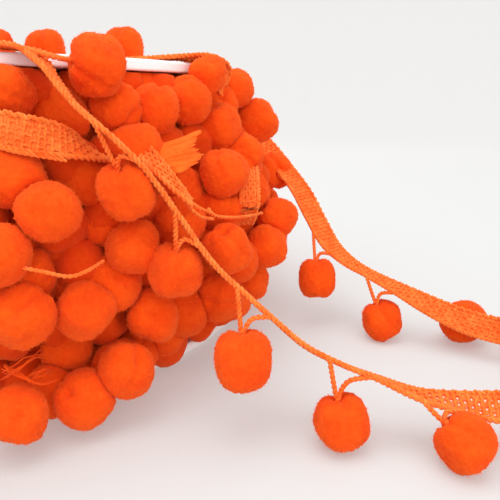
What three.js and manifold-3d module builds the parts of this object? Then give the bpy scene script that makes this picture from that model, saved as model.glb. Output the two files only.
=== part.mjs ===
import * as THREE from 'three';
import { mergeVertices } from 'three/addons/utils/BufferGeometryUtils.js';
import Module from 'manifold-3d';

// Sizes in millimetres, Z up. The reel stands on its lower flange, with its axis on the Z axis.
const flangeRadius = 123;
const flangeThick = 4;
const reelHeight = 118;
const hubRadius = 35;
const spindleRadius = 12.5;
const gap = 0.3;

const pompomRadius = 9;
const braidWidth = 10;
const braidThick = 1.4;
const tieWidth = 1.5;
const tieStep = 14;

const pileRadius = 146;
const pileWaist = 55;
const coreDepth = 3;
const ringRows = 6;
const ringCount = 36;
const ringLow = 14;
const ringRise = 18.4;
const skinRadius = 9.6;
const skinColumns = 176;
const skinRows = 20;

const wasm = await Module();
wasm.setup();

const deg = Math.PI / 180;
const fract = (value) => value - Math.floor(value);

// Distance of the pile's outer pompoms from the axis, by height: fullest a little below the middle.
function pileReach(height) {
  const up = height - pileWaist;
  return up > 0 ? pileRadius - 29 * (up / 62) ** 2 : pileRadius - 8 * (up / 45) ** 2;
}

// A geometry as a solid that can be joined and cut.
function toSolid(geometry) {
  geometry.deleteAttribute('normal');
  geometry.deleteAttribute('uv');
  const merged = mergeVertices(geometry, 1e-4);
  return new wasm.Manifold(new wasm.Mesh({
    numProp: 3,
    vertProperties: new Float32Array(merged.attributes.position.array),
    triVerts: new Uint32Array(merged.index.array),
  }));
}

// A solid as a geometry with its outer skin alone, so pockets shut in among the pompoms are filled.
function toGeometry(solid) {
  const mesh = solid.getMesh();
  const leader = Array.from({ length: mesh.vertProperties.length / 3 }, (_, i) => i);
  const find = (i) => {
    while (leader[i] !== i) i = leader[i];
    return i;
  };
  const triangles = [];
  for (let i = 0; i < mesh.triVerts.length; i += 3) triangles.push(mesh.triVerts.slice(i, i + 3));
  for (const [a, b, c] of triangles) {
    const lowest = Math.min(find(a), find(b), find(c));
    leader[find(a)] = lowest;
    leader[find(b)] = lowest;
    leader[find(c)] = lowest;
  }
  const skins = new Map();
  for (const triangle of triangles) {
    const skin = find(triangle[0]);
    skins.set(skin, [...(skins.get(skin) ?? []), ...triangle]);
  }
  const outer = [...skins.values()].sort((a, b) => b.length - a.length)[0];
  const geometry = new THREE.BufferGeometry();
  const positions = new Float32Array(mesh.vertProperties);
  geometry.setAttribute('position', new THREE.BufferAttribute(positions, 3));
  geometry.setIndex(outer);
  return mergeVertices(geometry, 1e-5);
}

// A ring around the Z axis, from a profile of [radius, height] points that closes on itself.
function ring(profile, segments) {
  const points = profile.map(([radius, height]) => new THREE.Vector2(radius, height));
  points.push(points[0].clone());
  const geometry = new THREE.LatheGeometry(points, segments);
  geometry.rotateX(Math.PI / 2);
  return geometry;
}

// A ring with a rectangular section.
function tube(inner, outer, low, high, segments) {
  return ring([[inner, low], [outer, low], [outer, high], [inner, high]], segments);
}

// The reel's flange: a disc with softened rims and a spindle hole.
function flange(low) {
  const high = low + flangeThick;
  const soft = 0.8;
  return ring([
    [spindleRadius, low],
    [flangeRadius - soft, low],
    [flangeRadius, low + soft],
    [flangeRadius, high - soft],
    [flangeRadius - soft, high],
    [spindleRadius, high],
  ], 60);
}

// One pompom, its fleece turned its own way.
function pompom(x, y, z, grow, detail, turn) {
  const geometry = new THREE.IcosahedronGeometry(pompomRadius + grow, detail);
  geometry.rotateX(0.9 * turn);
  geometry.rotateZ(2.1 * turn);
  geometry.translate(x, y, z);
  return geometry;
}

// A pompom on the floor settles on a small flat.
function settledPompom(x, y, grow) {
  const geometry = new THREE.IcosahedronGeometry(pompomRadius + grow, 1);
  geometry.rotateX(31.7 * deg);
  geometry.translate(x, y, pompomRadius - 0.6);
  const position = geometry.attributes.position;
  for (let i = 0; i < position.count; i += 1) {
    if (position.getZ(i) < 1.4) position.setZ(i, 0);
  }
  return geometry;
}

// Pompoms on the side of the pile that shows most: azimuth and height, and how far each stands proud.
const shownPompoms = [
  [-64, 106, 0], [-60, 108, -8], [-40, 108, -6], [-34, 104, 0], [-48, 101, 2], [-41, 101, -3],
  [-45, 92, 0], [-56, 99, -12], [-17, 108, 0], [-27, 94, 0], [-9, 95, 0], [-64, 82, 0],
  [-61, 73, 3], [-54, 79, -12], [-60, 60, -8], [-51, 58, 0], [-67, 62, 2], [-47, 87, 0],
  [-38, 72, -4], [-32, 64, -6], [-34, 78, 2], [-24, 82, -3], [-18, 54, 2], [-23, 44, 2],
  [-37, 52, 5], [-28, 40, 0], [-65, 43, 3], [-64, 51, -6], [-58, 41, 2], [-57, 47, -6],
  [-53, 45, 0], [-48, 32, 0], [-59, 22, -8], [-54, 19, 8], [-54, 14, 10], [-47, 15, -4],
  [-59, 12, 10], [-63, 12, 12], [-66, 13, 6], [-40, 26, 0], [-35, 30, 0], [-34, 34, -6],
  [-42, 17, -2], [-52, 64, -8], [-41, 61, -8], [-41, 78, -8], [-20, 66, -8], [-20, 26, -6],
  [-28, 22, -6], [-10, 76, -6], [-8, 60, -6], [-9, 40, -6],
];

// The rest of the pile's skin: staggered rows round the back, each pompom a little out of line.
function backPompoms() {
  const places = [];
  for (let row = 0; row < ringRows; row += 1) {
    for (let step = 0; step < ringCount; step += 1) {
      const n = row * ringCount + step;
      const azimuth = 2 + (step + 0.5 * (row % 2)) * (284 / ringCount) + 3 * (fract(n * 0.618) - 0.5);
      const height = ringLow + ringRise * row + 5 * (fract(n * 0.414) - 0.5);
      const flatter = 8 * Math.exp(-(((azimuth - 8) / 26) ** 2));
      places.push([azimuth, height, 6 * (fract(n * 0.732) - 0.5) - flatter]);
    }
  }
  return places;
}

// The loose length's middle line, from where it leaves the pile, over the top flange and down to
// the floor, and back up to the pile. Roll is the braid's own, 0 with its tie edge straight down
// and 90 with the braid lying flat.
const loosePath = [
  // x, y, z, roll
  [120, -30, 103, 0], [119.5, -48, 109, 5], [114, -62, 117, 35], [105, -70, 121, 80],
  [95, -72, 120.3, 90], [84, -66, 119.4, 90], [72, -53, 119.1, 90], [56, -43, 119.1, 90],
  [34, -38, 119.1, 90], [8, -36, 119.1, 90], [-20, -36, 119.1, 90], [-46, -41, 119.1, 90],
  [-62, -56, 119.1, 90], [-65, -76, 119.1, 90], [-54, -97, 119.1, 90], [-28, -110, 119.1, 90],
  [0, -114, 119.1, 90], [26, -112, 119.3, 90], [48, -108.5, 120, 90], [62, -111, 118.6, 100],
  [70, -116, 112.5, 120], [77, -120, 104.5, 120], [85, -123, 97.5, 107], [92.5, -122.5, 90.5, 93],
  [99.5, -120, 81.5, 88], [105.5, -118, 72, 91], [112, -117, 61.5, 103], [119.5, -118, 52, 112],
  [127.5, -120, 45, 116], [136, -123, 38, 117], [146, -126, 30, 117], [157, -128.5, 25, 116],
  [168, -131, 21.5, 112], [180, -134, 17.5, 100], [191, -136, 16, 84], [203, -138, 15.3, 58],
  [217, -138.5, 15, 35], [232, -134.5, 15, 18], [244, -125, 15, 5], [250, -110, 14.8, 0],
  [247.5, -95, 14.5, 0], [240, -84, 14, 5], [229.5, -77, 13.5, 10], [218, -70, 15, 12],
  [207, -62.5, 18.5, 15], [195.5, -53.5, 23, 32], [184, -45, 27.5, 40], [175, -38, 31.5, 5],
  [167, -30, 38, -6], [160.5, -20.5, 49, 0], [154, -9.5, 61, 10], [145, 1.5, 72, 16],
  [136, 11.5, 81.5, 22], [126, 21, 88, 25],
];

// Pompoms tied to the loose length: where the tie leaves, along the braid, and the pompom's centre.
// Ties that come back to the braid on its other side of the knot have a negative turn.
const loosePompoms = [
  // along, x, y, z, turn
  [50, 115, -72, 112.5, -1], [90, 72.8, -24.8, 127, 1], [126, 34.8, -14.6, 127.2, 1],
  [162, 12, -19, 127, 1], [198, -32, -20, 127, 1], [234, -76, -46, 127, 1],
  [270, -74, -90, 127, 1], [306, -32, -130, 113, 1], [342, 9, -133, 112, 1],
  [372, 34, -131, 113, 1], [402, 81.5, -104.3, 114.1, -1], [434, 92.1, -119.9, 78.1, 1],
  [467, 105.6, -117.8, 52.4, 1], [499, 126.9, -130.6, 27.3, 1], [535, 156.7, -135, 0, 1],
  [565, 190.6, -145.5, 0, 1], [601, 219, -151, 0, 1], [638, 262, -121, 0, 1],
  [676, 248, -69, 0, 1], [712, 224, -56.5, 0, 1], [748, 188, -53, 0, -1],
  [782, 160.3, -35.8, 22.9, -1], [818, 142.4, -2.1, 62.2, -1],
];

// Stations along the braid, each with its place, its run and the way its tie edge points.
function stations(subdivisions) {
  const centre = new THREE.CatmullRomCurve3(
    loosePath.map(([x, y, z]) => new THREE.Vector3(x, y, z)), false, 'catmullrom', 0.5,
  );
  const count = (loosePath.length - 1) * subdivisions;
  const list = [];
  let along = 0;
  for (let i = 0; i <= count; i += 1) {
    const row = Math.min(Math.floor(i / subdivisions), loosePath.length - 2);
    const part = i / subdivisions - row;
    const roll = (loosePath[row][3] * (1 - part) + loosePath[row + 1][3] * part) * deg;
    const place = centre.getPoint(i / count);
    const run = centre.getTangent(i / count);
    const side = new THREE.Vector3().crossVectors(run, new THREE.Vector3(0, 0, 1)).normalize();
    const down = new THREE.Vector3().crossVectors(run, side);
    const edge = down.multiplyScalar(Math.cos(roll)).addScaledVector(side, Math.sin(roll));
    if (i > 0) along += place.distanceTo(list[i - 1].place);
    list.push({ along, place, edge, face: new THREE.Vector3().crossVectors(run, edge) });
  }
  return list;
}

// The braid itself, a flat strip with a rectangular section that turns with the roll.
function braid(list, grow) {
  const wide = braidWidth / 2 + grow;
  const thick = braidThick / 2 + grow;
  const corners = [[wide, thick], [-wide, thick], [-wide, -thick], [wide, -thick]];
  const positions = [];
  for (const { place, edge, face } of list) {
    for (const [across, out] of corners) {
      const point = place.clone().addScaledVector(edge, across).addScaledVector(face, out);
      positions.push(point.x, point.y, point.z);
    }
  }
  const index = [0, 2, 1, 0, 3, 2];
  for (let i = 0; i < list.length - 1; i += 1) {
    for (let corner = 0; corner < 4; corner += 1) {
      const a = 4 * i + corner;
      const b = 4 * i + ((corner + 1) % 4);
      index.push(a, b, b + 4, a, b + 4, a + 4);
    }
  }
  const last = 4 * (list.length - 1);
  index.push(last, last + 1, last + 2, last, last + 2, last + 3);
  const geometry = new THREE.BufferGeometry();
  geometry.setAttribute('position', new THREE.BufferAttribute(new Float32Array(positions), 3));
  geometry.setIndex(index);
  return geometry;
}

// A tie: a thin three-sided cord through the given points.
function tie(points, grow) {
  const half = tieWidth / 2 + grow;
  const section = new THREE.Shape();
  section.moveTo(1.3 * half, 0);
  section.lineTo(-0.65 * half, 1.13 * half);
  section.lineTo(-0.65 * half, -1.13 * half);
  const path = new THREE.CatmullRomCurve3(points);
  return new THREE.ExtrudeGeometry(section, { steps: points.length, extrudePath: path });
}

function nearest(list, along) {
  return list.reduce((best, item) => (
    Math.abs(item.along - along) < Math.abs(best.along - along) ? item : best
  ));
}

// The loose length: the braid with its pompoms and their ties, grown all round by a small amount.
function looseLength(grow) {
  const list = stations(2);
  let solid = toSolid(braid(list, grow));
  loosePompoms.forEach(([along, x, y, z, turn], i) => {
    const onFloor = z === 0;
    const centre = new THREE.Vector3(x, y, onFloor ? pompomRadius : z);
    const start = nearest(list, along);
    const back = nearest(list, along + turn * tieStep);
    const from = start.place.clone().addScaledVector(start.edge, braidWidth / 2 - 1);
    const to = back.place.clone().addScaledVector(back.edge, braidWidth / 2 - 1);
    const inward = from.clone().sub(centre).normalize();
    const entry = centre.clone().addScaledVector(inward, 0.6 * pompomRadius);
    const bend = entry.clone().lerp(to, 0.5).addScaledVector(inward, 3);
    solid = solid.add(toSolid(onFloor ? settledPompom(x, y, grow) : pompom(x, y, z, grow, 1, i)));
    solid = solid.add(toSolid(tie([from, entry], grow)));
    solid = solid.add(toSolid(tie([entry, bend, to], grow)));
  });
  return solid;
}

// How far the pile reaches in one direction at one height: the outermost pompom there, or the
// packed turns behind them.
function skinReach(angle, height, pompoms) {
  let reach = pileReach(height) - coreDepth;
  for (const [azimuth, level, proud] of pompoms) {
    const turn = angle - azimuth * deg;
    const out = pileReach(level) + proud;
    const across = out * Math.sin(turn);
    const left = skinRadius ** 2 - across ** 2 - (height - level) ** 2;
    if (left > 0 && Math.cos(turn) > 0) reach = Math.max(reach, out * Math.cos(turn) + Math.sqrt(left));
  }
  return reach;
}

// The wound trim: the packed turns round the hub, with the pompoms of the outer turns standing out.
function woundTrim() {
  const low = flangeThick + gap;
  const high = reelHeight - flangeThick - gap;
  const profile = [[hubRadius + gap, low]];
  for (let row = 0; row <= skinRows; row += 1) {
    profile.push([pileRadius, low + ((high - low) * row) / skinRows]);
  }
  profile.push([hubRadius + gap, high]);
  const geometry = ring(profile, skinColumns);
  const pompoms = [...shownPompoms, ...backPompoms()];
  const position = geometry.attributes.position;
  for (let i = 0; i < position.count; i += 1) {
    const angle = Math.atan2(position.getY(i), position.getX(i));
    if (Math.hypot(position.getX(i), position.getY(i)) > hubRadius + 1) {
      const reach = skinReach(angle, position.getZ(i), pompoms);
      position.setXY(i, reach * Math.cos(angle), reach * Math.sin(angle));
    }
  }
  return toSolid(geometry);
}

const lengthRoom = looseLength(gap);
const flangeRoom = toSolid(tube(1, flangeRadius + gap, reelHeight - flangeThick, reelHeight + gap, 60));

const white = new THREE.MeshStandardMaterial({ color: 0xf4f4f2, roughness: 0.35 });
const orange = new THREE.MeshStandardMaterial({ color: 0xff5a14, roughness: 0.95 });
const orangeBraid = new THREE.MeshStandardMaterial({ color: 0xff7a2e, roughness: 0.85 });

const group = new THREE.Group();
group.name = 'pompom_fringe_trim';

function addPart(name, geometry, material) {
  const mesh = new THREE.Mesh(geometry, material);
  mesh.name = name;
  group.add(mesh);
}

addPart('bottom_flange', flange(0), white);
const hubLow = flangeThick + gap;
const hubHigh = reelHeight - flangeThick - gap;
addPart('hub', tube(spindleRadius, hubRadius, hubLow, hubHigh, 48), white);
addPart('top_flange', flange(reelHeight - flangeThick), white);
addPart('wound_trim', toGeometry(woundTrim().subtract(lengthRoom)), orange);
addPart('loose_length', toGeometry(looseLength(0).subtract(flangeRoom)), orangeBraid);

// The origin is the middle of the overall box, at its base.
const box = new THREE.Box3();
for (const mesh of group.children) {
  mesh.geometry.computeBoundingBox();
  box.union(mesh.geometry.boundingBox);
}
const middle = box.getCenter(new THREE.Vector3());
for (const mesh of group.children) mesh.geometry.translate(-middle.x, -middle.y, -box.min.z);

export default group;
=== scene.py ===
import math

import bpy
import numpy as np
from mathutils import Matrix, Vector


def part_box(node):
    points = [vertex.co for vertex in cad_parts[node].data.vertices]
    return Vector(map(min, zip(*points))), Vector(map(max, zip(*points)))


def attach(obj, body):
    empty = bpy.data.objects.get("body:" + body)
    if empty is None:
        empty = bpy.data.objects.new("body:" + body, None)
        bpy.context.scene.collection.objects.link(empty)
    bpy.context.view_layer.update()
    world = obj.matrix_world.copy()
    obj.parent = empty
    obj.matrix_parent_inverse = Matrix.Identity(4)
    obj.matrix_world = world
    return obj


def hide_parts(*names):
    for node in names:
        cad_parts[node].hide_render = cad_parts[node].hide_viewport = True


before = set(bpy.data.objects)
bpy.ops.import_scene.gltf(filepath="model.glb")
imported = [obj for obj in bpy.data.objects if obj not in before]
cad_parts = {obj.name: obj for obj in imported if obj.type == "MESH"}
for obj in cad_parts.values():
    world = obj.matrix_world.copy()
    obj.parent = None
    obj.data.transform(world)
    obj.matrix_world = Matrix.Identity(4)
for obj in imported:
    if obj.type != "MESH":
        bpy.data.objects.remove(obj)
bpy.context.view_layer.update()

# everything below is laid out in millimetres, from the reel's axis on the floor
hubLow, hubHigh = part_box("hub")
reelAxis = np.array([(hubLow.x + hubHigh.x) / 2, (hubLow.y + hubHigh.y) / 2, 0.0])


def toWorld(points):
    return np.asarray(points, float) * 0.001 + reelAxis


def unit(vectors):
    return vectors / np.maximum(np.linalg.norm(vectors, axis=-1, keepdims=True), 1e-9)


cameraSetup = {
    "place": (129, -284, 103.2),  # mm
    "tiltDown": 15.0,  # degrees
    "lens": 39.6,  # mm on a 36 mm sensor
    "nearest": 0.01,  # m
}

cameraData = bpy.data.cameras.new("camera")
cameraData.lens = cameraSetup["lens"]
cameraData.clip_start = cameraSetup["nearest"]
camera = bpy.data.objects.new("camera", cameraData)
camera.location = toWorld(cameraSetup["place"])
camera.rotation_euler = (math.radians(90 - cameraSetup["tiltDown"]), 0, 0)
bpy.context.scene.collection.objects.link(camera)
bpy.context.scene.camera = camera
bpy.context.scene.view_settings.view_transform = "Standard"  # keeps the strong orange
print("camera set")


def colour(hexValue):  # sRGB hex to linear
    channels = [int(hexValue[i:i + 2], 16) / 255 for i in (1, 3, 5)]
    return [c / 12.92 if c <= 0.04045 else ((c + 0.055) / 1.055) ** 2.4 for c in channels] + [1.0]


def addNode(tree, kind, inputs=None, **settings):  # a node with its settings and what feeds it
    node = tree.nodes.new(kind)
    for name, value in settings.items():
        setattr(node, name, value)
    for name, value in (inputs or {}).items():
        if isinstance(value, bpy.types.NodeSocket):
            tree.links.new(value, node.inputs[name])
        else:
            node.inputs[name].default_value = value
    return node


def newMaterial(name):
    material = bpy.data.materials.new(name)
    material.use_nodes = True
    material.node_tree.nodes.clear()
    return material, material.node_tree


def patternScale(size):  # a noise scale whose patches are this many mm across
    return 1000 / size


def addMesh(name, points, faces, material, smooth=True):
    mesh = bpy.data.meshes.new(name)
    mesh.from_pydata(toWorld(points).tolist(), [], np.asarray(faces).tolist())
    mesh.materials.append(material)
    mesh.polygons.foreach_set("use_smooth", [smooth] * len(mesh.polygons))
    mesh.update()
    piece = bpy.data.objects.new(name, mesh)
    bpy.context.scene.collection.objects.link(piece)
    return piece


def joinParts(parts):  # lists of (points, faces) as one
    points, faces, start = [], [], 0
    for partPoints, partFaces in parts:
        points.append(partPoints)
        faces.append(np.asarray(partFaces) + start)
        start += len(partPoints)
    return np.concatenate(points), np.concatenate(faces)


def tubes(lines, radius, sides, upright):
    # many yarns at once: lines is (count, steps, 3); radius may differ along a line
    lines = np.asarray(lines, float)
    count, steps = lines.shape[:2]
    run = unit(np.gradient(lines, axis=1))
    upright = np.broadcast_to(upright, lines.shape)
    side = unit(np.cross(run, upright))
    rise = np.cross(side, run)
    turn = np.arange(sides) * 2 * math.pi / sides
    radius = np.broadcast_to(np.asarray(radius, float), (count, steps))[:, :, None, None]
    ringPoints = lines[:, :, None, :] + radius * (
        side[:, :, None, :] * np.cos(turn)[None, None, :, None]
        + rise[:, :, None, :] * np.sin(turn)[None, None, :, None]
    )
    first = np.arange(count)[:, None, None] * steps * sides
    ring = np.arange(steps - 1)[None, :, None] * sides
    here = np.arange(sides)[None, None, :]
    nextOne = (here + 1) % sides
    a = first + ring + here
    b = first + ring + nextOne
    quads = np.stack([a, b, b + sides, a + sides], axis=-1).reshape(-1, 4)
    return ringPoints.reshape(-1, 3), quads


fleeceLook = {
    "tufts": 1.61, "clumps": 7.14, "tips": 0.385,  # mm across
    "toneFrom": 0.6, "toneTo": 1.35,
    "tuftDepth": 0.8, "tipDepth": 0.3,  # mm
    "sheenTint": "#FF9C58",
}


def acrylicFleece(name, deep, bright):
    # cut acrylic pile brushed up into a ball: matt, uneven in colour, with a soft pale bloom
    material, tree = newMaterial(name)
    place = addNode(tree, "ShaderNodeTexCoord").outputs["Object"]
    tufts = addNode(tree, "ShaderNodeTexNoise", {
        "Vector": place, "Scale": patternScale(fleeceLook["tufts"]),
        "Detail": 5, "Roughness": 0.65})
    clumps = addNode(tree, "ShaderNodeTexNoise", {
        "Vector": place, "Scale": patternScale(fleeceLook["clumps"]), "Detail": 2})
    both = addNode(tree, "ShaderNodeMath", {
        0: tufts.outputs["Fac"], 1: clumps.outputs["Fac"]}, operation="ADD")
    tone = addNode(tree, "ShaderNodeMapRange", {
        "Value": both.outputs[0],
        "From Min": fleeceLook["toneFrom"], "From Max": fleeceLook["toneTo"]})
    ramp = addNode(tree, "ShaderNodeValToRGB", {"Fac": tone.outputs[0]})
    ramp.color_ramp.elements[0].color = colour(deep)
    ramp.color_ramp.elements[1].color = colour(bright)
    tips = addNode(tree, "ShaderNodeTexNoise", {
        "Vector": place, "Scale": patternScale(fleeceLook["tips"]), "Detail": 3})
    tipBump = addNode(tree, "ShaderNodeBump", {
        "Height": tips.outputs["Fac"], "Strength": 0.4, "Distance": fleeceLook["tipDepth"] / 1000})
    tuftBump = addNode(tree, "ShaderNodeBump", {
        "Height": tufts.outputs["Fac"], "Strength": 0.4,
        "Distance": fleeceLook["tuftDepth"] / 1000, "Normal": tipBump.outputs[0]})
    shader = addNode(tree, "ShaderNodeBsdfPrincipled", {
        "Base Color": ramp.outputs[0], "Roughness": 0.95, "IOR": 1.49, "Specular IOR Level": 0.15,
        "Sheen Weight": 0.34, "Sheen Roughness": 0.5,
        "Sheen Tint": colour(fleeceLook["sheenTint"]), "Normal": tuftBump.outputs[0]})
    addNode(tree, "ShaderNodeOutputMaterial", {"Surface": shader.outputs[0]})
    return material


yarnLook = {
    "plies": 0.59, "tone": 3.85,  # mm across
    "toneFrom": 0.7, "toneTo": 1.3,
    "plyDepth": 0.3,  # mm
    "sheenTint": "#FFB080",
}


def acrylicYarn(name, deep, bright):
    # crochet yarn spun from acrylic: matt, with fine plies and a slight fuzz
    material, tree = newMaterial(name)
    place = addNode(tree, "ShaderNodeTexCoord").outputs["Object"]
    plies = addNode(tree, "ShaderNodeTexNoise", {
        "Vector": place, "Scale": patternScale(yarnLook["plies"]), "Detail": 4, "Roughness": 0.6})
    patches = addNode(tree, "ShaderNodeTexNoise", {
        "Vector": place, "Scale": patternScale(yarnLook["tone"]), "Detail": 2})
    both = addNode(tree, "ShaderNodeMath", {
        0: plies.outputs["Fac"], 1: patches.outputs["Fac"]}, operation="ADD")
    tone = addNode(tree, "ShaderNodeMapRange", {
        "Value": both.outputs[0],
        "From Min": yarnLook["toneFrom"], "From Max": yarnLook["toneTo"]})
    ramp = addNode(tree, "ShaderNodeValToRGB", {"Fac": tone.outputs[0]})
    ramp.color_ramp.elements[0].color = colour(deep)
    ramp.color_ramp.elements[1].color = colour(bright)
    bump = addNode(tree, "ShaderNodeBump", {
        "Height": plies.outputs["Fac"], "Strength": 0.5, "Distance": yarnLook["plyDepth"] / 1000})
    shader = addNode(tree, "ShaderNodeBsdfPrincipled", {
        "Base Color": ramp.outputs[0], "Roughness": 0.85, "IOR": 1.49, "Specular IOR Level": 0.25,
        "Sheen Weight": 0.25, "Sheen Roughness": 0.4,
        "Sheen Tint": colour(yarnLook["sheenTint"]), "Normal": bump.outputs[0]})
    addNode(tree, "ShaderNodeOutputMaterial", {"Surface": shader.outputs[0]})
    return material


polystyreneLook = {
    "flow": 36, "grain": 1.1,  # mm across
    "grainDepth": 0.2,  # mm
    "dull": "#F8F8F7", "clean": "#FEFEFE",
    "smoothest": 0.3, "roughest": 0.42,
}


def mouldedPolystyrene():
    # injection moulded, satin from the tool: even white, faint flow marks, soft highlight
    material, tree = newMaterial("moulded_polystyrene")
    place = addNode(tree, "ShaderNodeTexCoord").outputs["Object"]
    flow = addNode(tree, "ShaderNodeTexNoise", {
        "Vector": place, "Scale": patternScale(polystyreneLook["flow"]), "Detail": 3})
    grain = addNode(tree, "ShaderNodeTexNoise", {
        "Vector": place, "Scale": patternScale(polystyreneLook["grain"]), "Detail": 2})
    tone = addNode(tree, "ShaderNodeValToRGB", {"Fac": flow.outputs["Fac"]})
    tone.color_ramp.elements[0].color = colour(polystyreneLook["dull"])
    tone.color_ramp.elements[1].color = colour(polystyreneLook["clean"])
    gloss = addNode(tree, "ShaderNodeMapRange", {
        "Value": flow.outputs["Fac"],
        "To Min": polystyreneLook["smoothest"], "To Max": polystyreneLook["roughest"]})
    bump = addNode(tree, "ShaderNodeBump", {
        "Height": grain.outputs["Fac"], "Strength": 0.08,
        "Distance": polystyreneLook["grainDepth"] / 1000})
    shader = addNode(tree, "ShaderNodeBsdfPrincipled", {
        "Base Color": tone.outputs[0], "Roughness": gloss.outputs[0], "IOR": 1.59,
        "Normal": bump.outputs[0]})
    addNode(tree, "ShaderNodeOutputMaterial", {"Surface": shader.outputs[0]})
    return material


fleece = acrylicFleece("acrylic_fleece", "#E8400A", "#F4590E")
# painted light: a lighter copy of the fleece, for fibre tips and cut yarn ends, where light catches
# the pile's edges
fleeceLit = acrylicFleece("acrylic_fleece_painted_light", "#F45A14", "#FF7424")
# painted shade: a darker copy of the fleece, for the pompoms and turns deep in the pile, where shade
# falls between pompoms
fleeceShaded = acrylicFleece("acrylic_fleece_painted_shade", "#D63604", "#E84A0A")
yarn = acrylicYarn("crochet_yarn", "#F55E14", "#FF8A3C")
polystyrene = mouldedPolystyrene()
print("materials made")


floorSetup = {
    "flat": 1300, "bend": 800, "rise": 2400,  # mm: a floor that sweeps up all round
    "middle": (0.001, 300), "bendSteps": 12, "segments": 72,
    "glowFrom": -0.15, "glowTo": 0.9,  # m, from the front to the back
    "frontGlow": 0.29, "backGlow": 0.45, "glowTint": "#FFF8F5",
    "dull": "#ABAFAF", "clean": "#AFB3B3", "cloudScale": 3,
}


def paintedGlowFloor():
    # painted light: the floor glows of itself, so that shadows on it stay thin, a little deeper in
    # front, and it is brighter towards the back
    material, tree = newMaterial("floor_painted_glow")
    place = addNode(tree, "ShaderNodeSeparateXYZ", {
        "Vector": addNode(tree, "ShaderNodeTexCoord").outputs["Object"]})
    glow = addNode(tree, "ShaderNodeMapRange", {
        "Value": place.outputs["Y"],
        "From Min": floorSetup["glowFrom"], "From Max": floorSetup["glowTo"],
        "To Min": floorSetup["frontGlow"], "To Max": floorSetup["backGlow"]})
    cloud = addNode(tree, "ShaderNodeTexNoise", {"Scale": floorSetup["cloudScale"], "Detail": 1})
    tone = addNode(tree, "ShaderNodeValToRGB", {"Fac": cloud.outputs["Fac"]})
    tone.color_ramp.elements[0].color = colour(floorSetup["dull"])
    tone.color_ramp.elements[1].color = colour(floorSetup["clean"])
    shader = addNode(tree, "ShaderNodeBsdfPrincipled", {
        "Base Color": tone.outputs[0], "Roughness": 0.8, "Specular IOR Level": 0.2,
        "Emission Color": colour(floorSetup["glowTint"]), "Emission Strength": glow.outputs[0]})
    addNode(tree, "ShaderNodeOutputMaterial", {"Surface": shader.outputs[0]})
    return material


flat, bend, bendSteps = floorSetup["flat"], floorSetup["bend"], floorSetup["bendSteps"]
sweepLine = [(radius, 0) for radius in (*floorSetup["middle"], flat)]
for step in range(1, bendSteps + 1):
    turn = step / bendSteps * math.pi / 2
    sweepLine.append((flat + bend * math.sin(turn), bend * (1 - math.cos(turn))))
sweepLine.append((sweepLine[-1][0], floorSetup["rise"]))
segments, rings = floorSetup["segments"], len(sweepLine)
sweepTurn = np.arange(segments) * 2 * math.pi / segments
sweepPoints = np.array([(r * math.cos(a), r * math.sin(a), z)
                        for a in sweepTurn for r, z in sweepLine])
sweepFaces = []
for i in range(segments):
    here, after = i * rings, (i + 1) % segments * rings
    sweepFaces += [(here + k, here + k + 1, after + k + 1, after + k) for k in range(rings - 1)]
floor = addMesh("floor", sweepPoints, sweepFaces, paintedGlowFloor())

lightSetup = {
    # name: place mm, size m, power W, aim mm
    "key_softbox": ((-350, -450, 1150), 1.3, 7, (60, -40, 60)),
    "top_softbox": ((100, -100, 1300), 1.2, 5, (60, 0, 60)),
    "front_fill": ((500, -1100, 420), 1.2, 8, (60, -60, 60)),
}
for name, (place, size, power, aim) in lightSetup.items():
    lamp = bpy.data.lights.new(name, "AREA")
    lamp.shape = "SQUARE"
    lamp.size = size
    lamp.energy = power
    light = bpy.data.objects.new(name, lamp)
    light.location = toWorld(place)
    direction = toWorld(aim) - toWorld(place)
    light.rotation_euler = Vector(direction).to_track_quat("-Z", "Y").to_euler()
    bpy.context.scene.collection.objects.link(light)

studio = {"tint": "#FBFAFA", "strength": 0.96}
world = bpy.data.worlds.new("studio")
world.use_nodes = True
background = world.node_tree.nodes["Background"]
background.inputs["Color"].default_value = colour(studio["tint"])
background.inputs["Strength"].default_value = studio["strength"]
bpy.context.scene.world = world
print("floor and lights set")


reel = {
    "flangeRadius": 123, "flangeThick": 4, "height": 118, "hubRadius": 35, "spindleRadius": 12.5,
    "rimSoft": 0.9, "holeSoft": 0.5, "edge": 0.05, "gap": 0.3,  # mm
    "segments": 200,
}


def turned(profile, segments):  # a closed profile of (radius, height) turned round the axis
    profile = np.array(profile, float)
    angle = np.arange(segments) * 2 * math.pi / segments
    points = np.stack([
        profile[None, :, 0] * np.cos(angle)[:, None],
        profile[None, :, 0] * np.sin(angle)[:, None],
        np.broadcast_to(profile[None, :, 1], (segments, len(profile))),
    ], axis=-1).reshape(-1, 3)
    column = np.arange(segments)[:, None] * len(profile)
    nextColumn = (np.arange(segments)[:, None] + 1) % segments * len(profile)
    row = np.arange(len(profile))[None, :]
    nextRow = (row + 1) % len(profile)
    faces = [column + row, nextColumn + row, nextColumn + nextRow, column + nextRow]
    return points, np.stack(faces, axis=-1).reshape(-1, 4)


def flangeProfile(low):
    high = low + reel["flangeThick"]
    outer, soft, edge = reel["flangeRadius"], reel["rimSoft"], reel["edge"]
    hole, holeSoft = reel["spindleRadius"], reel["holeSoft"]
    profile = [(hole + holeSoft, low), (hole + holeSoft + edge, low), (outer - soft - edge, low)]
    for start, side in ((-90, low + soft), (0, high - soft)):
        if start == 0:
            profile.append((outer, high - soft - edge))
        for step in range(7):
            turn = math.radians(start + step * 15)
            profile.append((outer - soft + soft * math.cos(turn), side + soft * math.sin(turn)))
    return profile + [
        (outer - soft - edge, high), (hole + holeSoft + edge, high), (hole + holeSoft, high),
        (hole, high - holeSoft), (hole, high - holeSoft - edge),
        (hole, low + holeSoft + edge), (hole, low + holeSoft),
    ]


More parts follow.
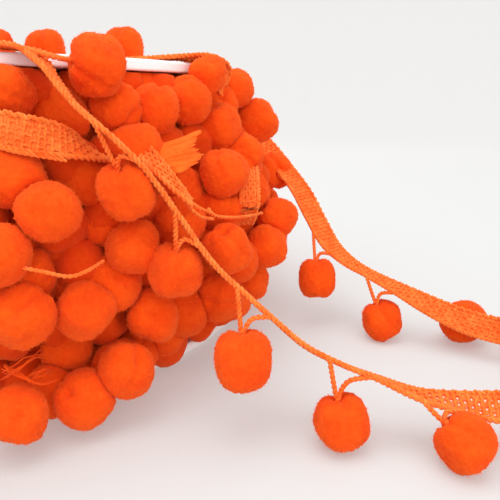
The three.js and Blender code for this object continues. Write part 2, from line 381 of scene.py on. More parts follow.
def hubProfile():
    low = reel["flangeThick"] + reel["gap"]
    high = reel["height"] - reel["flangeThick"] - reel["gap"]
    inner, outer, edge = reel["spindleRadius"], reel["hubRadius"], reel["edge"]
    return [
        (inner, low), (inner + edge, low), (outer - edge, low),
        (outer, low), (outer, low + edge), (outer, high - edge),
        (outer, high), (outer - edge, high), (inner + edge, high),
        (inner, high), (inner, high - edge), (inner, low + edge),
    ]


for name, profile in (
    ("bottom_flange", flangeProfile(0)),
    ("top_flange", flangeProfile(reel["height"] - reel["flangeThick"])),
    ("hub", hubProfile()),
):
    piece = addMesh("reel_" + name, *turned(profile, reel["segments"]), polystyrene)
    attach(piece, "root")
    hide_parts(name)
print("reel made")


pompom = {
    "radius": 9.0,  # mm; depths and widths below are shares of it
    "sizeSpread": 0.06,
    "boxy": 2.35,  # 2 is round, more is squarer
    "fill": (0.965, 0.05),  # how much of the radius it fills, and how much less as it squares off
    "dents": 0.035, "dentCount": 6, "dentPitch": 2.0,
    "cleft": 0.15, "cleftWidth": 0.13, "cleftBend": 0.12,
    "cleftReach": (0.35, 1.1),  # how far it runs down, for a packed pompom and for a loose one
    "tiePit": 0.17, "tiePitWidth": 0.035,
    "crease": 0.035, "creaseWidth": 0.1,
    "nap": 0.017,
    "fibreLength": (0.5, 1.2), "fibreWidth": 0.13,  # mm
    "fibreLean": 0.45,
    "fibres": {"front": 1300, "back": 150, "loose": 1300},  # tips on each pompom
}

packing = {
    "closest": 15.6,  # mm between the middles of two packed pompoms
    "ease": 0.7, "deepest": 11,  # the share that one sinks at a time, and mm in all
    "touch": 2.1,  # radii apart at which two press on each other
    "press": 0.85, "overlap": 0.15,  # the share pressed flat, and mm left to overlap
    "frontTurn": (-120, -26),  # degrees round the reel, where none stands over the flange
    "lidGap": 1, "lidSwell": 3, "lidEase": 5,  # mm
    "reelGap": 0.4, "rimGap": 0.5,  # mm
}


def ball(cells):  # a cube's grid drawn out to a ball, so its faces are even all over
    line = np.tan(np.linspace(-1, 1, cells + 1) * math.pi / 4)
    u, v = (grid.ravel() for grid in np.meshgrid(line, line, indexing="ij"))
    points, faces = [], []
    row = np.arange(cells)[:, None] * (cells + 1) + np.arange(cells)[None, :]
    quads = np.stack([row, row + cells + 1, row + cells + 2, row + 1], axis=-1).reshape(-1, 4)
    for axis in range(3):
        for sign in (-1, 1):
            side = np.stack([np.full_like(u, sign), u, v], axis=1)
            points.append(np.roll(side, axis, axis=1))
            sideFaces = quads if sign > 0 else quads[:, ::-1]
            faces.append(sideFaces + len(side) * (len(points) - 1))
    points = np.round(unit(np.concatenate(points)), 7)
    points, place = np.unique(points, axis=0, return_inverse=True)
    return points, place.ravel()[np.concatenate(faces)]


balls = {"fine": ball(17), "loose": ball(16), "plain": ball(9), "inner": ball(5)}

pile = {
    "reach": 146, "waist": 55,  # mm
    "upper": (29, 62), "lower": (8, 45),  # how far it draws in, over how much height
    "rows": 6, "columns": 36, "low": 14, "rise": 18.4, "backFrom": 2, "backTurn": 284,
    "spread": (5, 8, 6),  # azimuth, height, proud
    "flatter": (8, 8, 26),  # mm, round this azimuth, over this many degrees
    "innerColumns": 44, "innerLow": 13, "innerRise": 18.2, "innerDepth": -13, "innerTop": 3,
    "tucked": 15,  # mm that those behind the braid's far end are pushed in
    "coreDepth": 19, "coreLow": 5, "coreHigh": 113, "coreRows": 13, "coreSegments": 120,
}


def pileReach(height):  # how far out the pile's outer pompoms sit, by height
    up = np.asarray(height, float) - pile["waist"]
    above, below = (pile["reach"] - draw * (up / over) ** 2
                    for draw, over in (pile["upper"], pile["lower"]))
    return np.where(up > 0, above, below)


def pilePlace(azimuth, height, proud):
    out = float(pileReach(height)) + proud
    turn = math.radians(azimuth)
    return np.array([out * math.cos(turn), out * math.sin(turn), height])


def shapeBall(centre, level, tie, seed, cleft=None, cleftAcross=None, scale=1.0, boxy=0.0,
              stretch=1.0):
    # a trimmed ball of yarn: squarish, softly dented, with a cleft where its tie pulls in
    points, faces = balls[level]
    rng = np.random.RandomState(seed)
    tie = unit(np.asarray(tie, float))
    aside = unit(np.cross(tie, unit(rng.normal(size=3))))
    if cleftAcross is not None:
        aside = unit(cleftAcross - tie * np.dot(cleftAcross, tie))
    deepAside = np.cross(tie, aside)
    local = np.stack([points @ aside, points @ deepAside, points @ tie], axis=1)

    power = pompom["boxy"] + boxy
    fill = pompom["fill"][0] - pompom["fill"][1] * boxy
    reach = fill * (np.abs(local) ** power).sum(1) ** (-1 / power)
    for _ in range(pompom["dentCount"]):
        wave = rng.normal(size=3) * pompom["dentPitch"]
        depth = pompom["dents"] * rng.uniform(0.3, 1.1)
        reach += depth * np.cos(points @ wave + rng.uniform(0, 6.3))

    up = np.clip(local[:, 2], -1, 1)
    bend = pompom["cleftBend"] * np.sin(3 * local[:, 2] + rng.uniform(0, 6))
    reachDown = pompom["cleftReach"][0 if cleft is None else 1]
    groove = np.exp(-((local[:, 0] + bend) / pompom["cleftWidth"]) ** 2)
    groove = groove * np.clip((up + reachDown) / (reachDown + 0.8), 0, 1) ** 1.1
    byChance = 0.15 + 1.1 * rng.uniform() ** 2
    depth = byChance if cleft is None else cleft * (0.6 + 0.4 * byChance)
    reach -= pompom["cleft"] * depth * groove
    reach -= pompom["tiePit"] * np.exp(-(1 - up) / pompom["tiePitWidth"])

    side = unit(rng.normal(size=3))
    crease = np.exp(-((points @ side - rng.uniform(-0.3, 0.5)) / pompom["creaseWidth"]) ** 2)
    oneSide = np.clip(points @ unit(rng.normal(size=3)) + 0.3, 0, 1)
    reach -= pompom["crease"] * crease * oneSide
    reach += rng.normal(size=len(points)) * pompom["nap"]
    size = scale * pompom["radius"] * (1 + pompom["sizeSpread"] * rng.uniform(-1, 1))
    shape = points * reach[:, None] * size
    return centre + shape + np.outer(shape @ tie, tie) * (stretch - 1), faces


def neighbours(places, i, within):  # those whose middles are nearer to one than this
    away = places - places[i]
    distance = np.linalg.norm(away, axis=1)
    return away, distance, np.nonzero((distance > 0.5) & (distance < within))[0]


def pressTogether(places, shapes):  # neighbours flatten against each other
    places = np.array(places)
    for i, (points, _) in enumerate(shapes):
        away, distance, near = neighbours(places, i, packing["touch"] * pompom["radius"])
        for j in near:
            normal = away[j] / distance[j]
            past = (points - (places[i] + places[j]) / 2) @ normal + packing["overlap"]
            points -= np.where(past > 0, past * packing["press"], 0)[:, None] * normal


def settle(places, passes=4):  # where two share a place, the one further in sinks deeper
    places = np.array(places)
    sunk = np.zeros(len(places))
    for _ in range(passes):
        for i in range(len(places)):
            _, distance, near = neighbours(places, i, packing["closest"])
            for j in near:
                inner = i if np.hypot(*places[i, :2]) < np.hypot(*places[j, :2]) else j
                step = min(packing["ease"] * (packing["closest"] - distance[j]),
                           packing["deepest"] - sunk[inner])
                if step > 0:
                    out = np.hypot(*places[inner, :2])
                    places[inner, :2] *= (out - step) / out
                    sunk[inner] += step
    return places


def keepLow(points):  # in front, packed pompoms stay under the top flange's height
    lid = reel["height"] - reel["flangeThick"] - packing["lidGap"]
    turn = math.degrees(math.atan2(*points.mean(0)[1::-1]))
    if not packing["frontTurn"][0] < turn < packing["frontTurn"][1]:
        return
    high = points[:, 2] > lid
    eased = 1 - np.exp(-(points[high, 2] - lid) / packing["lidEase"])
    points[high, 2] = lid + packing["lidSwell"] * eased


def keepOffReel(points, over=30):  # pompoms give way under the flange and stand clear of its rim
    out = np.hypot(points[:, 0], points[:, 1])
    lid = reel["height"] - reel["flangeThick"] - packing["reelGap"]
    rim = reel["flangeRadius"] + packing["rimGap"]
    under = (out < rim) & (points[:, 2] > lid) & (points[:, 2] < lid + over)
    drop = under & (points[:, 2] - lid < rim - out)
    points[drop, 2] = lid
    push = under & ~drop
    points[push, :2] *= (rim / out[push])[:, None]
    bottom = reel["flangeThick"] + packing["reelGap"]
    points[(out < rim) & (points[:, 2] < bottom), 2] = bottom


def fuzz(shapes, count, seed):  # loose fibre tips standing out of the fleece
    rng = np.random.RandomState(seed)
    allPoints = []
    for points, faces in shapes:
        chosen = faces[rng.randint(0, len(faces), count)]
        weight = rng.dirichlet((1, 1, 1), count)
        base = (points[chosen[:, :3]] * weight[:, :, None]).sum(1)
        lean = rng.normal(size=(count, 3)) * pompom["fibreLean"]
        outward = unit(unit(base - points.mean(0)) + lean)
        side = unit(np.cross(outward, rng.normal(size=(count, 3)))) * pompom["fibreWidth"] / 2
        tip = base + outward * rng.uniform(*pompom["fibreLength"], size=(count, 1))
        allPoints.append(np.stack([base - side, base + side, tip], axis=1).reshape(-1, 3))
    points = np.concatenate(allPoints)
    points[:, 2] = np.maximum(points[:, 2], 0.05)  # none goes through the floor
    return points, np.arange(len(points)).reshape(-1, 3)


# the pompoms on the front, one by one: azimuth, height, proud
shownPompoms = [
    (-64, 106, 0), (-60, 108, -8), (-40, 108, -6), (-34, 104, 0), (-48, 101, 2), (-41, 101, -3),
    (-56, 99, -12), (-14, 108.5, 1), (-27, 94, 0), (-9, 95, 0), (-64, 82, 0),
    (-61, 73, 3), (-54, 79, -12), (-60, 60, -8), (-51, 58, 0), (-67, 62, 2), (-47, 88, -5),
    (-38, 72, -4), (-32, 64, -6), (-34, 78, 2), (-24, 82, -3), (-18, 54, 2), (-23, 44, 2),
    (-37, 52, 5), (-28, 40, 0), (-65, 43, 3), (-64, 51, -6), (-58, 41, 2), (-57, 47, -6),
    (-53, 45, 0), (-48, 32, 0), (-59, 22, -8), (-54, 20, 10), (-52.5, 14.5, 6), (-47, 15, -4),
    (-59, 12, 10), (-62.5, 11, 8), (-66.5, 14, 13), (-40, 26, 0), (-35, 30, 0), (-34, 34, -6),
    (-42, 17, -2), (-52, 64, -8), (-41, 61, -8), (-41, 78, -8), (-20, 66, -8), (-20, 26, -6),
    (-28, 22, -6), (-12, 76, -14), (-8, 60, -14), (-9, 40, -6), (-21, 101, -6),
]


def fract(value):
    return value - math.floor(value)


# the rest of the outside, in rows that run round the reel
backPompoms = []
for row in range(pile["rows"]):
    for step in range(pile["columns"]):
        n = row * pile["columns"] + step
        turnBy, riseBy, standBy = (spread * (fract(n * share) - 0.5) for spread, share in
                                   zip(pile["spread"], (0.618, 0.414, 0.732)))
        column = (step + 0.5 * (row % 2)) * (pile["backTurn"] / pile["columns"])
        azimuth = pile["backFrom"] + column + turnBy
        flat, middle, over = pile["flatter"]
        flatter = flat * math.exp(-(((azimuth - middle) / over) ** 2))
        height = pile["low"] + pile["rise"] * row + riseBy
        backPompoms.append((azimuth, height, standBy - flatter))

# the layer behind, which closes the gaps; it is drawn in the darker fleece copy, painted shade
# between the pompoms
innerPompoms = []
for row in range(pile["rows"]):
    for step in range(pile["innerColumns"]):
        n = row * pile["innerColumns"] + step
        top = pile["innerTop"] if row == pile["rows"] - 1 else 0
        azimuth = step * 360 / pile["innerColumns"] + 4 * (row % 2) + 3 * fract(n * 0.618)
        height = pile["innerLow"] + pile["innerRise"] * row + top + 5 * (fract(n * 0.31) - 0.5)
        proud = pile["innerDepth"] + 1.5 * top - 3 * fract(n * 0.77)
        innerPompoms.append((azimuth, height, proud))

loosePath = np.array([  # x, y, z, roll of the braid
    (118, -32, 103, 0), (118.5, -43, 107.5, 8), (117, -50, 113.5, 30), (111, -56, 119, 68),
    (103, -60, 120, 86), (94, -61, 119.6, 90), (80, -57, 119.2, 90), (60, -46, 119.1, 90),
    (34, -38, 119.1, 90), (8, -36, 119.1, 90), (-20, -36, 119.1, 90), (-46, -41, 119.1, 90),
    (-62, -56, 119.1, 90), (-65, -76, 119.1, 90), (-54, -97, 119.1, 90), (-28, -110, 119.1, 90),
    (0, -114, 119.1, 90), (26, -112, 119.3, 90), (48, -108.5, 120, 90), (62, -111, 118.6, 100),
    (70, -116, 112.5, 120), (77, -120, 104.5, 120), (85, -123, 97.5, 107), (92.5, -122.5, 90.5, 93),
    (99.5, -120, 81.5, 88), (105.5, -118, 72, 91), (112, -117, 61.5, 103), (119.5, -118, 52, 112),
    (127.5, -120, 45, 116), (136, -123, 38, 117), (146, -126, 30, 117), (157, -128.5, 25, 116),
    (168, -131, 21.5, 112), (180, -134, 17.5, 100), (191, -136, 16, 84), (203, -138, 15.3, 58),
    (217, -138.5, 15, 35), (232, -134.5, 15, 18), (244, -125, 15, 5), (250, -110, 14.8, 0),
    (247.5, -95, 14.5, -4), (240, -84, 14, -12), (229.5, -77, 13.5, -26), (218, -70, 15, -42),
    (207, -62.5, 18.5, -62), (195.5, -53.5, 23, -82), (184, -45, 27.5, -93), (175, -38, 31.5, -90),
    (167, -30, 38, -84), (160.5, -20.5, 49, -82), (154, -9.5, 61, -80), (145, 1.5, 72, -74),
    (136, 11.5, 81.5, -62), (126, 21, 88, -42), (115, 28, 91.5, -15), (104, 33, 94, 0),
], float)
# each loose pompom: along the braid, x, y, z of its middle, which way its tie turns back
loosePompoms = [
    (50, 113, -66, 113.4, -1), (73, 72.8, -24.8, 127, 1), (109, 34.8, -14.6, 127.2, 1),
    (145, 12, -19, 127, 1), (181, -32, -20, 127, 1), (217, -76, -46, 127, 1),
    (253, -74, -90, 127, 1), (289, -32, -130, 113, 1), (325, 9, -133, 112, 1),
    (355, 34, -131, 113, 1), (385, 81.5, -104.3, 114.1, -1), (417, 92.1, -119.9, 78.1, 1),
    (450, 105.6, -117.8, 52.4, 1), (482, 126.9, -130.6, 27.3, 1), (518, 156.7, -135, 9, 1),
    (548, 190.6, -145.5, 9, 1), (584, 219, -151, 9, 1), (621, 262, -121, 9, 1),
    (659, 248, -69, 9, 1), (695, 224, -56.5, 9, 1), (731, 188, -53, 9, -1),
    (765, 160.3, -35.8, 22.9, -1), (801, 140.5, 5, 68.5, -1),
]


def layStrip(path, perSpan=10):
    # the middle line and frame of a braid that follows path, its tie edge turned by the roll
    ends = np.vstack([2 * path[0] - path[1], path, 2 * path[-1] - path[-2]])
    rows = []
    for i in range(1, len(ends) - 2):
        t = np.arange(perSpan)[:, None] / perSpan
        before, start, stop, after = ends[i - 1:i + 3]
        leave, arrive = (stop - before) / 2, (after - start) / 2
        cubic = 2 * start - 2 * stop + leave + arrive
        square = -3 * start + 3 * stop - 2 * leave - arrive
        rows.append(cubic * t ** 3 + square * t ** 2 + leave * t + start)
    rows = np.vstack(rows + [ends[-2:-1]])
    place, roll = rows[:, :3], np.radians(rows[:, 3])[:, None]
    run = unit(np.gradient(place, axis=0))
    side = unit(np.cross(run, (0, 0, 1)))
    down = np.cross(run, side)
    edge = np.cos(roll) * down + np.sin(roll) * side
    steps = np.linalg.norm(np.diff(place, axis=0), axis=1)
    along = np.concatenate([[0], np.cumsum(steps)])
    return {"along": along, "place": place, "edge": edge, "face": np.cross(run, edge)}


def onStrip(strip, along, across, out):  # a point of the braid's own lengths in space
    def read(name):
        values = strip[name]
        return np.stack([np.interp(along, strip["along"], values[:, k]) for k in range(3)], axis=-1)
    edge, face = unit(read("edge")), unit(read("face"))
    return read("place") + edge * np.asarray(across)[..., None] + face * np.asarray(out)[..., None]


looseStrip = layStrip(loosePath)
tieCord = {
    "step": 14.0,  # mm along the braid between a tie's two legs
    "edge": 4.4,  # mm from the braid's middle
    "ply": 0.5, "swing": 0.82, "pitch": 3.2, "steps": 40,
    "entry": 0.62, "knot": 0.5,  # shares of the pompom's radius
    "sag": 0.32, "lift": 0.8, "bow": 3.2, "rise": 2.6,  # mm
}


def tieEnds(row):
    along, x, y, z, turn = row
    centre = np.array([x, y, z], float)
    start = onStrip(looseStrip, along, tieCord["edge"], 0.0)
    back = onStrip(looseStrip, along + turn * tieCord["step"], tieCord["edge"], 0.0)
    return centre, start, back, unit(start - centre)


looseCentres = np.array([row[1:4] for row in loosePompoms], float)


def pileShapes(places, level, firstSeed):
    shapes = []
    for n, centre in enumerate(places):
        rng = np.random.RandomState(firstSeed + n)
        outward = unit(np.array([centre[0], centre[1], 0.0]))
        tie = outward * rng.uniform(-0.6, 0.9) + rng.normal(size=3) * 0.6 + np.array([0, 0, 0.5])
        boxy = rng.uniform(-0.3, 0.5)
        shapes.append(list(shapeBall(centre, level, tie, firstSeed + n, boxy=boxy)))
    return shapes


def clearOfLoose(rows, clear=11):  # leaves out those that a loose pompom has pushed aside
    places = [pilePlace(*row) for row in rows]
    return [p for p in places if np.min(np.linalg.norm(looseCentres - p, axis=1)) > clear]


def tuckedBack(row):  # makes room for the braid where it goes back into the pile
    azimuth, height, proud = row
    behind = azimuth < 24 and 50 < height < 103
    return azimuth, height, proud - (pile["tucked"] if behind else 0)


shownPlaces = clearOfLoose(shownPompoms)
backPlaces = clearOfLoose([tuckedBack(row) for row in backPompoms])
packed = settle(shownPlaces + backPlaces)
shownPlaces, backPlaces = packed[:len(shownPlaces)], packed[len(shownPlaces):]
shownShapes = pileShapes(shownPlaces, "fine", 100)
backShapes = pileShapes(backPlaces, "plain", 400)
innerShapes = pileShapes([pilePlace(*row) for row in innerPompoms], "inner", 900)
pressTogether(packed, shownShapes + backShapes)
for shape in shownShapes + backShapes + innerShapes:
    keepLow(shape[0])
    keepOffReel(shape[0])

frontHalf, backHalf = 26, 108  # each side is two pieces, to keep a piece light
pileParts = [
    ("pile_pompoms_front_a", shownShapes[:frontHalf], fleece),
    ("pile_pompoms_front_b", shownShapes[frontHalf:], fleece),
    ("pile_pompoms_back_a", backShapes[:backHalf], fleece),
    ("pile_pompoms_back_b", backShapes[backHalf:], fleece),
    ("pile_pompoms_inner", innerShapes, fleeceShaded),
]
for name, shapes, material in pileParts:
    piece = addMesh(name, *joinParts(shapes), material)
    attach(piece, "root")
    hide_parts("wound_trim")
tips = [fuzz(shownShapes, pompom["fibres"]["front"], 5),
        fuzz(backShapes, pompom["fibres"]["back"], 6)]
# the fibre tips are drawn in the lighter fleece copy: painted light on the pompoms' edges
piece = addMesh("pile_fuzz", *joinParts(tips), fleeceLit)
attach(piece, "root")

# the imported turns behind, in the darker fleece copy: painted shade, seen only as darkness between
# pompoms
coreInner, coreLow, coreHigh = reel["hubRadius"] + 1, pile["coreLow"], pile["coreHigh"]
coreProfile = [(coreInner, coreLow)]
coreProfile += [(float(pileReach(height)) - pile["coreDepth"], height)
                for height in np.linspace(coreLow, coreHigh, pile["coreRows"])]
coreProfile += [(coreInner, coreHigh)]
piece = addMesh("pile_core", *turned(coreProfile, pile["coreSegments"]), fleeceShaded)
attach(piece, "root")
print("pile made")

looseLook = {
    "seed": 60, "cleft": 1.1, "cleftAcross": (1.0, 0.25, 0.15), "boxy": 0.25,
    "floorGap": 0.3, "floorPress": 0.9, "floorSwell": 0.12,  # mm
    "besideRim": (100, 120), "rimOver": 5,  # mm
    # pompom: size, stretch along its tie
    "uneven": {0: (0.78, 1.0), 13: (1.0, 1.1), 14: (0.93, 1.04), 15: (0.88, 1.0), 21: (0.97, 1.2)},
}

looseShapes = []
for n, row in enumerate(loosePompoms):
    centre, start, back, inward = tieEnds(row)
    scale, stretch = looseLook["uneven"].get(n, (1.0, 1.0))
    points, faces = shapeBall(
        centre, "loose", inward, looseLook["seed"] + n, looseLook["cleft"],
        np.array(looseLook["cleftAcross"]), scale, looseLook["boxy"], stretch)
    rimLow, rimHigh = looseLook["besideRim"]
    if centre[2] == pompom["radius"]:  # settled on the floor
        pressed = looseLook["floorPress"]
        swell = looseLook["floorSwell"] * np.clip(points[:, 2], -2, pressed) / pressed
        points[:, 2] = np.where(
            points[:, 2] < pressed, looseLook["floorGap"] + swell, points[:, 2])
    elif centre[2] > rimHigh:  # resting on the flange
        points[:, 2] = np.maximum(points[:, 2], reel["height"] + reel["gap"])
    elif centre[2] > rimLow:
        keepOffReel(points, looseLook["rimOver"])
    looseShapes.append([points, faces])
piece = addMesh("loose_pompoms", *joinParts(looseShapes), fleece)
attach(piece, "root")
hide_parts("loose_length")
# the fibre tips are drawn in the lighter fleece copy: painted light on the pompoms' edges
fuzzPiece = addMesh("loose_fuzz", *fuzz(looseShapes, pompom["fibres"]["loose"], 7), fleeceLit)
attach(fuzzPiece, "root")
print("loose pompoms made")


crochetBraid = {
    # mm; across the braid, minus is the free edge and plus the edge with the ties
    "ribStep": 2.0, "ribRadius": 0.68, "ribFrom": -4.4, "ribTo": 4.1, "ribPoints": 18,
    "ribJitter": 0.15, "ribWobble": (0.16, 0.1), "ribRelief": 0.12, "ribSwell": 0.3,
    "knotStep": 1.5,
    "rows": (-3.3, -1.8, -0.3, 1.2, 2.7), "chainRadius": 0.4, "chainSwing": (0.22, 0.5),
    "picotEdge": -4.6, "picotReach": 0.75, "picotStep": 3.2, "picotPly": 0.54, "picotPitch": 3.1,
    "tieEdge": 4.2, "edgePly": 0.58, "edgePitch": 3.6, "edgeStep": 0.7,
    "webWidth": 1.55, "webInset": 0.78,
    "webColumns": (-4.6, -3.4, -2.6, -1.8, -1.0, -0.2, 0.6, 1.4, 2.2, 3.0, 4.6),
    "openColumns": (2, 4, 6, 8),
    "looseClosedFrom": 590,  # along the loose length, its holes are drawn shut from here on
}


def twoPly(strip, along, across, ply, pitch):
    # two strands twisted round a line that is given in the braid's own lengths
    turn = along / pitch * 2 * math.pi
    flat = np.zeros_like(along)
    lines = [onStrip(strip, along, across + side * 0.85 * ply * np.cos(turn),
                     flat + side * 0.85 * ply * np.sin(turn)) for side in (1, -1)]
    facing = onStrip(strip, along, across, flat + 1) - onStrip(strip, along, across, flat)
    return tubes(np.stack(lines), ply, 5, facing[None])


def facingOf(strip, along, across):  # which way the braid's face looks
    return (onStrip(strip, along, across, np.ones_like(along))
            - onStrip(strip, along, across, np.zeros_like(along)))


def crochet(strip, start, stop, seed, wide=1.0):
    # ribs across, chains along, scallops on the free edge and a twisted cord on the tie edge
    rng = np.random.RandomState(seed)
    step, jitter = crochetBraid["ribStep"], crochetBraid["ribJitter"]
    count, dots = int((stop - start) / step), crochetBraid["ribPoints"]
    ribs = start + (np.arange(count) + 0.5) * step + rng.uniform(-jitter, jitter, count)
    across = np.linspace(crochetBraid["ribFrom"], crochetBraid["ribTo"], dots)
    wave = across * 2 * math.pi / crochetBraid["knotStep"]
    wobble, chance = crochetBraid["ribWobble"]
    alongGrid = (ribs[:, None] + wobble * np.sin(wave / 2)[None, :]
                 + rng.uniform(-chance, chance, (count, dots)))
    otherSide = np.where(np.arange(count) % 2, 1, -1)[:, None]
    outGrid = crochetBraid["ribRelief"] * np.cos(wave / 2)[None, :] * otherSide
    acrossGrid = np.broadcast_to(across * wide, alongGrid.shape)
    ribLines = onStrip(strip, alongGrid, acrossGrid, outGrid)
    ribFacing = facingOf(strip, alongGrid, np.zeros_like(alongGrid))
    thick = crochetBraid["ribRadius"] * (1 + crochetBraid["ribSwell"] * np.cos(wave))
    ribParts = tubes(ribLines, np.broadcast_to(thick, alongGrid.shape), 4, ribFacing)

    length = np.arange(start, stop, step / 3)
    sideways, outwards = crochetBraid["chainSwing"]
    chains, facing = [], []
    for n, row in enumerate(crochetBraid["rows"]):
        phase = (length - start) / step * math.pi + n * math.pi
        swing = (row + sideways * np.sin(2 * phase)) * wide
        chains.append(onStrip(strip, length, swing, outwards * np.cos(phase)))
        facing.append(facingOf(strip, length, np.full_like(length, row)))
    chainParts = tubes(np.stack(chains), crochetBraid["chainRadius"], 4, np.stack(facing))

    fine = np.arange(start, stop, crochetBraid["edgeStep"])
    bulge = np.abs(np.sin(math.pi * fine / crochetBraid["picotStep"]))
    scallop = crochetBraid["picotEdge"] - crochetBraid["picotReach"] * bulge
    picots = twoPly(strip, fine, scallop * wide,
                    crochetBraid["picotPly"], crochetBraid["picotPitch"])
    tieEdge = twoPly(strip, fine, np.full_like(fine, crochetBraid["tieEdge"] * wide),
                     crochetBraid["edgePly"], crochetBraid["edgePitch"])
    return joinParts([ribParts, chainParts]), joinParts([picots, tieEdge])


def meshGround(strip, start, stop, closedFrom=1e9, wide=1.0):
    # the ground of the crochet: a thin web, open between the ribs as far as closedFrom
    step = crochetBraid["ribStep"]
    lines = np.concatenate([
        [start + i * step, start + i * step + crochetBraid["webWidth"]]
        for i in range(int((stop - start) / step))])
    lines += step / 2 - crochetBraid["webInset"]
    across = np.array(crochetBraid["webColumns"])
    alongGrid, acrossGrid = np.meshgrid(lines, across, indexing="ij")
    flat = np.zeros(alongGrid.size)
    points = onStrip(strip, alongGrid.ravel(), acrossGrid.ravel() * wide, flat)
    faces = []
    columns = len(across)
    for i in range(len(lines) - 1):
        for j in range(columns - 1):
            if i % 2 and j in crochetBraid["openColumns"] and lines[i] < closedFrom:
                continue
            a = i * columns + j
            faces.append((a, a + 1, a + columns + 1, a + columns))
    return points, faces


looseEnd = float(looseStrip["along"][-1]) - 1
stitches, edges = crochet(looseStrip, 1, looseEnd, 21)
web = meshGround(looseStrip, 1, looseEnd, crochetBraid["looseClosedFrom"])
ground = addMesh("loose_ground", *web, yarn)
looseStitches = addMesh("loose_stitches", *stitches, yarn)
looseEdges = addMesh("loose_edges", *edges, yarn)


def splinePoints(points, count):  # a smooth line through a few points
    path = np.array([(*p, 0) for p in points], float)
    line = layStrip(path, 8)
    wanted = np.linspace(0, line["along"][-1], count)
    places = [np.interp(wanted, line["along"], line["place"][:, k]) for k in range(3)]
    return np.stack(places, axis=-1), wanted


def twistedCords(routes, ply=tieCord["ply"]):  # each route as a cord of two plies
    lines, facing = [], []
    for n, route in enumerate(routes):
        line, wanted = splinePoints(route, tieCord["steps"])
        run = unit(np.gradient(line, axis=0))
        side = unit(np.cross(run, (0.31, 0.22, 0.92)))  # no tie runs this way
        rise = np.cross(run, side)
        turn = (wanted / tieCord["pitch"] * 2 * math.pi + n)[:, None]
        swing = tieCord["swing"] * ply * (side * np.cos(turn) + rise * np.sin(turn))
        lines += [line + swing, line - swing]
        facing += [rise, rise]
    return tubes(np.stack(lines), ply, 5, np.stack(facing))


tieRoutes = []
for row in loosePompoms:
    centre, start, back, inward = tieEnds(row)
    entry = centre + inward * tieCord["entry"] * pompom["radius"]
    knot = centre + inward * tieCord["knot"] * pompom["radius"]
    tieRoutes.append([start, (start + entry) / 2 - np.array([0, 0, tieCord["sag"]]), entry])
    rising = entry + inward * tieCord["rise"] + (back - entry) * 0.12
    bend = entry * 0.6 + back * 0.4 + inward * tieCord["bow"] + np.array([0, 0, tieCord["lift"]])
    tieRoutes.append([knot, rising, bend, back])
looseTies = addMesh("loose_ties", *twistedCords(tieRoutes), yarn)

for piece in (ground, looseStitches, looseEdges, looseTies):
    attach(piece, "root")
    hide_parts("loose_length")

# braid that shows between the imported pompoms: its width beside the loose one's, then x, y, z, roll
pileBraids = [
    (1, [(40, -128, 97.5, 0), (55.6, -127.5, 96.2, 2), (66.9, -125.6, 94, 8),
         (73, -121.8, 92.4, 20), (77.6, -117, 90.6, 40), (80.6, -111, 88.2, 58),
         (82.4, -104, 86, 70)]),
    (0.5, [(93.5, -103, 88.8, 60), (98.6, -106.9, 84.5, 60), (102.8, -108.3, 79.9, 60),
           (107.1, -107.9, 75, 60), (110.3, -106.2, 70.8, 60)]),
    (0.7, [(127.8, -57.8, 79.3, 90), (128.4, -71, 75.2, 90), (128.6, -78.5, 69, 90),
           (128.3, -79.5, 62.7, 90), (126.6, -70.6, 56.5, 90)]),
]
stitchParts, edgeParts, groundParts = [], [], []
for n, (wide, path) in enumerate(pileBraids):
    strip = layStrip(np.array(path, float))
    start, stop = 0.5, float(strip["along"][-1]) - 0.5
    stitches, edges = crochet(strip, start, stop, 30 + n, wide)
    groundParts.append(meshGround(strip, start, stop, 0, wide))
    stitchParts.append(stitches)
    edgeParts.append(edges)

# cords of the turns underneath, each a few points that it runs through
pileCords = [
    [(109, -107.4, 72.6), (112.4, -105.6, 69.6), (115.3, -101.6, 67.4), (117, -99.2, 65.9)],
    [(107.6, -108.2, 73), (110.2, -108, 69.4), (113.2, -105, 66.4), (116.4, -100.2, 64.9)],
    [(55.4, -127.6, 92.4), (61, -127.8, 90.4), (67.8, -126.4, 88.8), (75.5, -122.4, 86.9)],
    [(114.6, -97.9, 68.2), (117, -99.2, 65.9), (122.6, -93, 63.9), (129, -84.3, 62.8),
     (133.7, -73, 61.7)],
    [(62.1, -134.2, 59.5), (65.4, -138, 59.2), (71.8, -138.8, 58.1), (77.6, -135.5, 55.6),
     (81.7, -131.5, 56), (84.5, -123.9, 56.8)],
]
cordPly = 0.4

frayedEnd = {
    "yarns": 4, "stray": 0.7, "radius": 0.16, "steps": 16,  # mm
    "routes": [
        [(56, -136.5, 24.6), (61, -139.6, 28.2), (64.7, -138, 30.6), (65.7, -131.2, 29.6)],
        [(60.1, -133.9, 19.6), (64.7, -137.5, 24.3), (67.8, -135.4, 25), (67.3, -128.2, 22.4)],
        [(57, -137.5, 28.6), (61.5, -138.5, 26), (66.2, -137, 22.5), (69.4, -131, 20.6)],
    ],
}


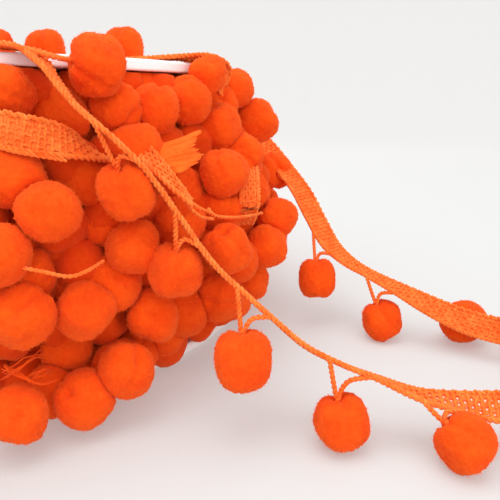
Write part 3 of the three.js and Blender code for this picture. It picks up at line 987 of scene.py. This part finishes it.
def frayed():  # loose single yarns near each route
    rng = np.random.RandomState(91)
    lines = []
    for route in frayedEnd["routes"]:
        for _ in range(frayedEnd["yarns"]):
            shift = rng.normal(size=(len(route), 3)) * frayedEnd["stray"]
            points = [tuple(p) for p in np.array(route) + shift]
            lines.append(splinePoints(points, frayedEnd["steps"])[0])
    return tubes(np.stack(lines), frayedEnd["radius"], 6, np.array([0.2, -0.9, 0.3]))


yarnFan = {
    "yarns": 26, "bow": 1.6, "stray": 0.12,  # mm
    "roots": [(98.4, -98.4, 89.2), (99, -100.7, 87.1), (99.5, -102.3, 85), (100.1, -102.4, 82.7),
              (100.7, -100.3, 80.5)],
    "tips": [(112.3, -84.3, 94.1), (110.6, -89.9, 91.3), (109.9, -93.6, 88.9),
             (113, -90.5, 85.9), (111.2, -94.4, 83.5), (107.6, -99.5, 81.7)],
    "thick": (0.3, *np.linspace(0.5, 0.62, 10), 0.5, 0.36, 0.12),  # mm, root to tip
}


def between(places, share):  # a point that far along a row of places
    places = np.array(places)
    spots = np.linspace(0, 1, len(places))
    return np.array([np.interp(share, spots, places[:, k]) for k in range(3)])


def fanOfYarns():  # the end of a turn, its yarns side by side and spread at their cut ends
    rng = np.random.RandomState(77)
    lines = []
    for share in np.linspace(0, 1, yarnFan["yarns"]):
        root, tip = between(yarnFan["roots"], share), between(yarnFan["tips"], share)
        bow = (root + tip) / 2 + unit((root + tip) * (1, 1, 0)) * yarnFan["bow"]
        bow = bow + rng.normal(size=3) * yarnFan["stray"]
        tip = tip + (tip - root) * rng.uniform(-0.06, 0.03)
        lines.append(splinePoints([root, bow, tip], len(yarnFan["thick"]))[0])
    thick = np.array(yarnFan["thick"])[None]
    return tubes(np.stack(lines), thick, 6, np.array([0.3, -0.9, 0.2]))


pileBraidParts = stitchParts + edgeParts + groundParts + [twistedCords(pileCords, cordPly)]
pileBraid = addMesh("pile_braid", *joinParts(pileBraidParts), yarn)
# the cut yarns are drawn in the lighter fleece copy: painted light
cutYarns = addMesh("pile_cut_yarns", *fanOfYarns(), fleeceLit)
frayedYarns = addMesh("pile_frayed_yarns", *frayed(), fleece)
for piece in (pileBraid, cutYarns, frayedYarns):
    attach(piece, "root")
print("braid made")
